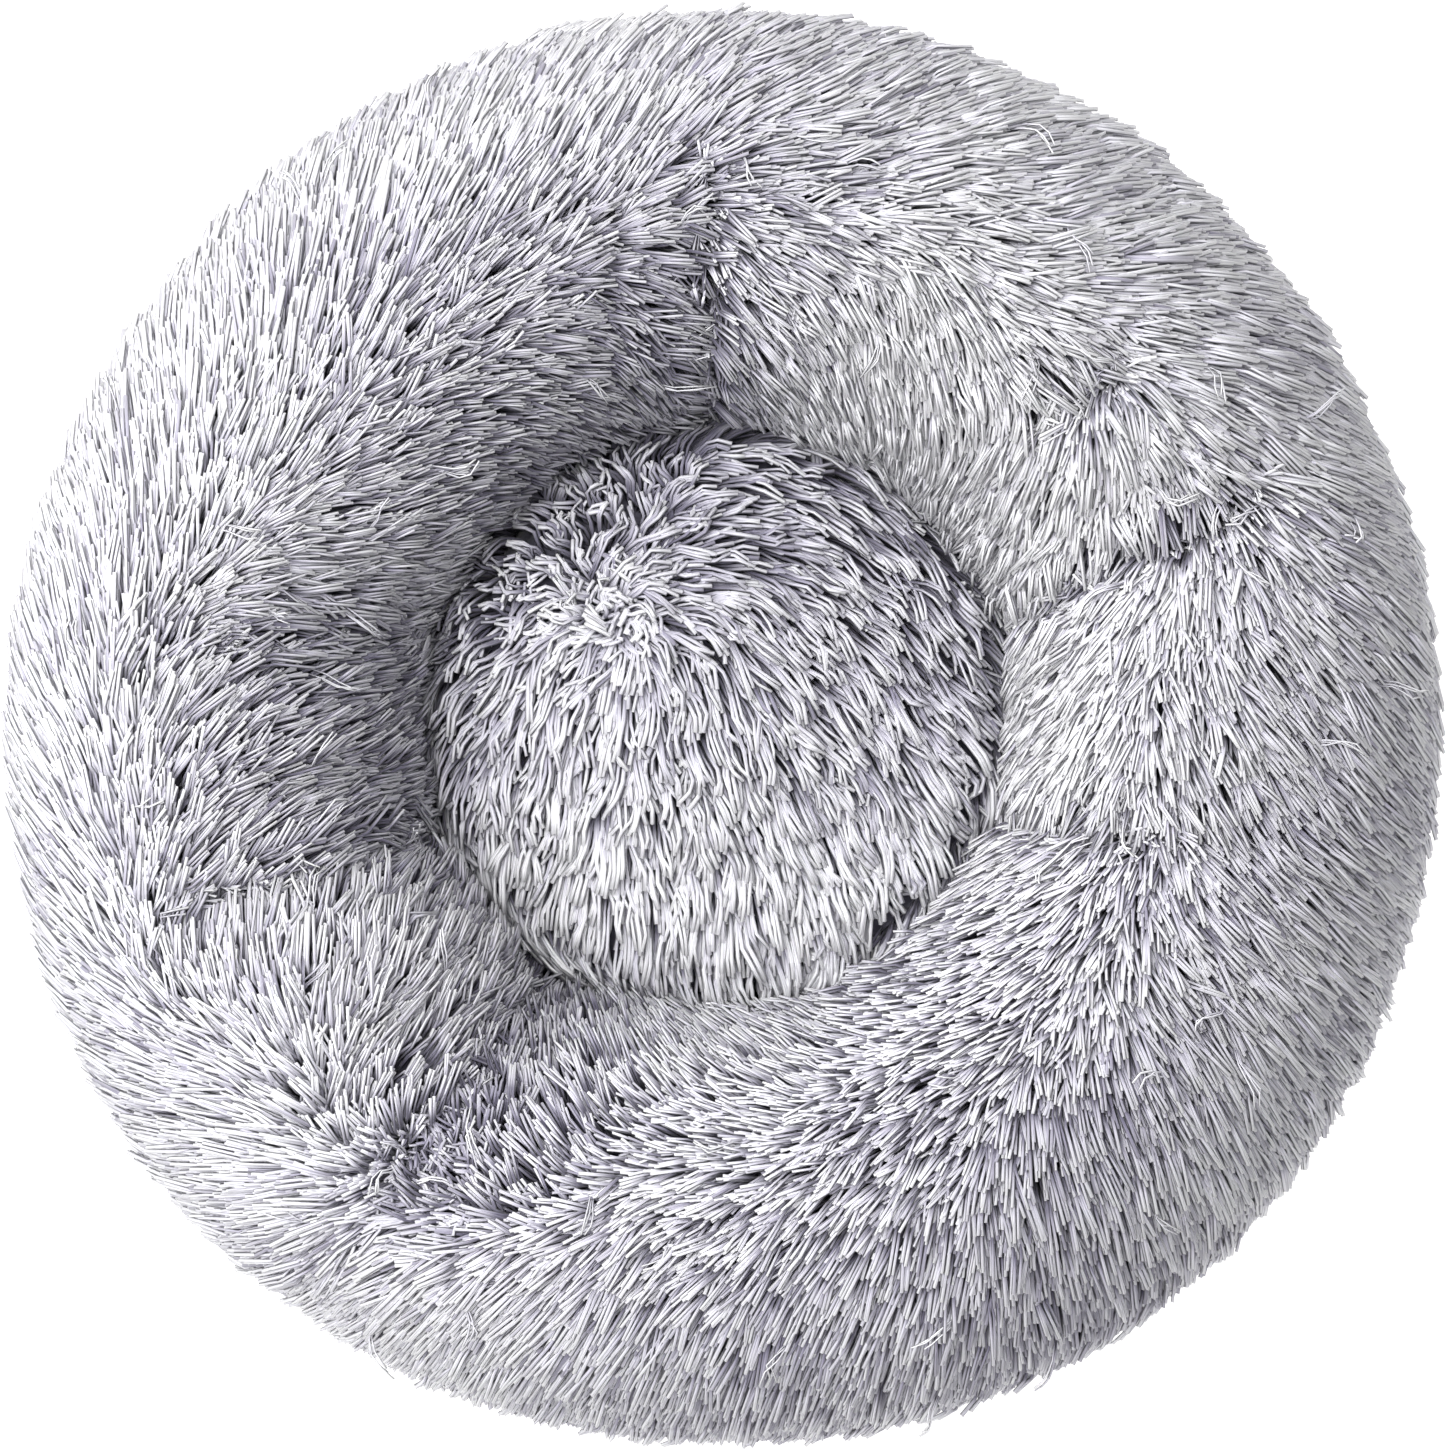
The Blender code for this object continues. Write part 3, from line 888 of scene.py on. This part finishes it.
# The tone's middle carries the painted light and shade as well, and the under layer is painted darker, as
# painted shade beneath the tufts that lie over it
tone = tone_of(stations, 0.56 + 0.7 * paler + 0.20 * over, random)
roots = stations[:, 0]
bearing = np.arctan2(roots[:, 1], roots[:, 0]) / (2 * np.pi) % 1.0 * RING_SECTORS
turn = np.arctan2(roots[:, 2] - TUBE_HEIGHT, np.hypot(roots[:, 0], roots[:, 1]) - TUBE_RADIUS)
turn = (np.degrees(turn) + 80) % 360
for sector in range(RING_SECTORS):
    mine = np.floor(bearing).astype(int) == sector
    root_uv = np.stack([bearing[mine] - sector, turn[mine] / 360], 1) * 0.99 + 0.005
    pile = pile_mesh(
        f"bolster_pile_{sector + 1}", strands[mine], root_uv, tone[mine], pale[mine], gaps[mine],
        plush,
    )
    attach(pile, "root")


# ---------------------------------------------------------------------------------------------
# Stray locks. Here and there on the bolster a thin tuft has worked loose and curls over the pile
# that it stands in. It is the same dyed fibre, and lighter at its end.
# ---------------------------------------------------------------------------------------------
STRAY_TUFTS = 70
STRAY_REACH = 0.026
STRAY_WIDTH = 0.0009
STRAY_DEPTH = 0.0165
STRAY_CURL = 0.0030


def on_the_crest(points, normals):
    """Only the upper side of the bolster has stray locks, and more of them near its folds."""
    return np.clip((normals[:, 2] - 0.2) / 0.5, 0, 1) * (0.25 + fold_closeness(points, 0.025))


random = np.random.default_rng(19)
tips, normals = even_places(cover, STRAY_TUFTS, on_the_crest, random)
stations, ups, aheads = lay_tufts(
    cover_tree, tips, normals, brushed_round, np.full(len(tips), STRAY_REACH), 35, random
)
strands, over = grow_strands(
    stations, ups, aheads, STRAY_DEPTH, STRAY_WIDTH, TUFT_SPREAD, STRAY_CURL, 6, 1.0, random
)
tone = tone_of(stations, 0.9, random)
roots = stations[:, 0]
bearing = np.arctan2(roots[:, 1], roots[:, 0]) / (2 * np.pi) % 1.0
turn = np.arctan2(roots[:, 2] - TUBE_HEIGHT, np.hypot(roots[:, 0], roots[:, 1]) - TUBE_RADIUS)
turn = (np.degrees(turn) + 80) % 360
root_uv = np.stack([bearing, turn / 360], 1) * 0.99 + 0.005
whole = np.ones(len(roots))
pile = pile_mesh("stray_locks", strands, root_uv, tone, 0.75 * whole, whole, plush)
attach(pile, "root")

# ---------------------------------------------------------------------------------------------
# The cushion's pile. The same frosted fibres, less brushed and so still curly, lie away from a
# whorl off the cushion's middle and then bend down across it.
# ---------------------------------------------------------------------------------------------
CUSHION_TUFTS = 2340
CUSHION_REACH = 0.033
CUSHION_STRAND_WIDTH = 0.00200
CUSHION_SPREAD = 0.0007
FRINGE_DROP = 0.004
WHORL = np.array([-0.048, 0.045])


def brushed_from_whorl(points, normals):
    away = points[:, :2] - WHORL
    far = np.linalg.norm(away, axis=1, keepdims=True)
    flow = away / np.maximum(far, 1e-6) + np.array([-0.1, -1.0]) * np.minimum(1.0, far / 0.12)
    flow = np.concatenate([flow, np.zeros((len(flow), 1))], 1)
    return unit(flow - (flow * normals).sum(1, keepdims=True) * normals)


def on_the_cushion(points, normals):
    return np.clip((points[:, 2] - 0.028) / 0.012, 0, 1) * (1.8 - 0.8 * normals[:, 2])


cushion_tree = BVHTree.FromPolygons(
    [v.co.copy() for v in cushion.data.vertices],
    [tuple(p.vertices) for p in cushion.data.polygons],
)
tips, normals = even_places(cushion, CUSHION_TUFTS, on_the_cushion, random)
from_whorl = np.linalg.norm(tips[:, :2] - WHORL, axis=1)
# Past the whorl, on the side away from the comb, the pile stands up short and tangled
tangled = np.clip(((tips[:, :2] - WHORL) @ np.array([-0.62, 0.78]) - 0.006) / 0.030, 0, 1)
reach = CUSHION_REACH * np.clip(from_whorl / 0.036, 0.25, 1.0) * (1 - 0.60 * tangled)
unruly = 6.5 + 18 * np.exp(-((from_whorl / 0.035) ** 2)) + 22 * tangled
stations, ups, aheads = lay_tufts(
    cushion_tree, tips, normals, brushed_from_whorl, reach, unruly, random
)
curl = np.interp(from_whorl, (0.0, 0.04, 0.12), (0.0032, 0.0026, 0.0015))
# Round the edge the ends stand out over the groove and do not follow the cover down
stations[:, 2, 2] = np.maximum(stations[:, 2, 2], stations[:, 1, 2] - FRINGE_DROP)
depth = CUSHION_PILE_DEPTH * (1 + 0.15 * tangled)
strands, over = grow_strands(
    stations, ups, aheads, depth, CUSHION_STRAND_WIDTH, CUSHION_SPREAD, curl, 5, 0.42, random,
)
# Painted light and painted shade on the cushion's pile, place by place
CUSHION_PAINTED_LIGHT = (
    PaintedLightPlace(bearing=142, radius=0.064, size=0.030, paler=0.26),
    PaintedLightPlace(bearing=236, radius=0.080, size=0.055, paler=0.24),
    PaintedLightPlace(bearing=285, radius=0.110, size=0.050, paler=0.22),
    PaintedLightPlace(bearing=225, radius=0.122, size=0.035, paler=0.14),
    PaintedLightPlace(bearing=335, radius=0.118, size=0.030, paler=0.24),
    PaintedLightPlace(bearing=160, radius=0.124, size=0.026, paler=-0.28),
    PaintedLightPlace(bearing=198, radius=0.124, size=0.026, paler=-0.26),
    PaintedLightPlace(bearing=75, radius=0.110, size=0.045, paler=-0.18),
    PaintedLightPlace(bearing=20, radius=0.120, size=0.035, paler=-0.18),
    PaintedLightPlace(bearing=302, radius=0.106, size=0.034, paler=0.26),
    PaintedLightPlace(bearing=212, radius=0.100, size=0.025, paler=0.14),
)
# Painted light and shade on the cushion, and painted darker where the pile is tangled
paler = painted_light_and_shade(CUSHION_PAINTED_LIGHT, stations[:, 2]) - 0.16 * tangled
# Here too the tone carries the painted light and shade, and the under layer is painted darker as painted
# shade
tone = tone_of(stations, 0.55 + 0.8 * paler + 0.18 * over, random)
pale = np.clip(0.61 + paler, 0.35, 0.88)
gaps = np.clip(0.96 - 0.6 * paler, 0.5, 1.0)
roots = stations[:, 0]
from_middle = roots - np.array(cushion_middle)
tilt = np.arccos(np.clip(unit(from_middle)[:, 2], -1, 1)) / math.radians(120)
round_it = np.arctan2(from_middle[:, 1], from_middle[:, 0])
root_uv = 0.5 + 0.49 * np.stack([tilt * np.cos(round_it), tilt * np.sin(round_it)], 1)
pile = pile_mesh("cushion_pile", strands, root_uv, tone, pale, gaps, plush)
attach(pile, "root")

# ---------------------------------------------------------------------------------------------
# The floor, the lights and the camera. The bed lies on a white floor under a broad soft light
# from the upper left, and is seen from straight above.
# ---------------------------------------------------------------------------------------------
bpy.ops.object.select_all(action="DESELECT")
bpy.ops.mesh.primitive_plane_add(size=12, location=(0, 0, 0))
floor = bpy.context.object
floor.name = "floor"
white, nodes, links, shader = new_material("white_floor", roughness=0.9, specular=0.1)
shader.inputs["Base Color"].default_value = (0.45, 0.45, 0.45, 1.0)
shader.inputs["Emission Color"].default_value = (1.0, 1.0, 1.0, 1.0)
shader.inputs["Emission Strength"].default_value = 1.00
floor.data.materials.append(white)

world = bpy.data.worlds.new("studio")
world.use_nodes = True
world.node_tree.nodes["Background"].inputs["Color"].default_value = (1.0, 1.0, 1.0, 1.0)
world.node_tree.nodes["Background"].inputs["Strength"].default_value = 0.45
bpy.context.scene.world = world


def softbox(name, bearing, elevation, power):
    """A square soft light that looks at the bed from this bearing and elevation, in degrees."""
    data = bpy.data.lights.new(name, "AREA")
    data.size = SOFTBOX_SIZE
    data.energy = power
    light = bpy.data.objects.new(name, data)
    level = SOFTBOX_DISTANCE * math.cos(math.radians(elevation))
    bearing = math.radians(bearing)
    height = SOFTBOX_DISTANCE * math.sin(math.radians(elevation))
    light.location = (level * math.cos(bearing), level * math.sin(bearing), height + TUBE_HEIGHT)
    aim = Vector((0, 0, TUBE_HEIGHT)) - light.location
    light.rotation_euler = aim.to_track_quat("-Z", "Y").to_euler()
    bpy.context.scene.collection.objects.link(light)


SOFTBOX_SIZE = 1.2
SOFTBOX_DISTANCE = 2.1
softbox("key_softbox", bearing=130, elevation=75, power=33)
softbox("side_softbox", bearing=180, elevation=50, power=18)
softbox("low_softbox", bearing=110, elevation=25, power=15)
softbox("fill_softbox", bearing=215, elevation=38, power=6.5)

EYE_HEIGHT = 2.2
HALF_VIEW = 0.3018
camera_data = bpy.data.cameras.new("camera")
camera_data.sensor_width = 36.0
camera_data.lens = 18.0 * (EYE_HEIGHT - TUBE_HEIGHT) / HALF_VIEW
camera = bpy.data.objects.new("camera", camera_data)
camera.location = (0.0, 0.0, EYE_HEIGHT)
bpy.context.scene.collection.objects.link(camera)
bpy.context.scene.camera = camera
bpy.context.scene.view_settings.view_transform = "Standard"
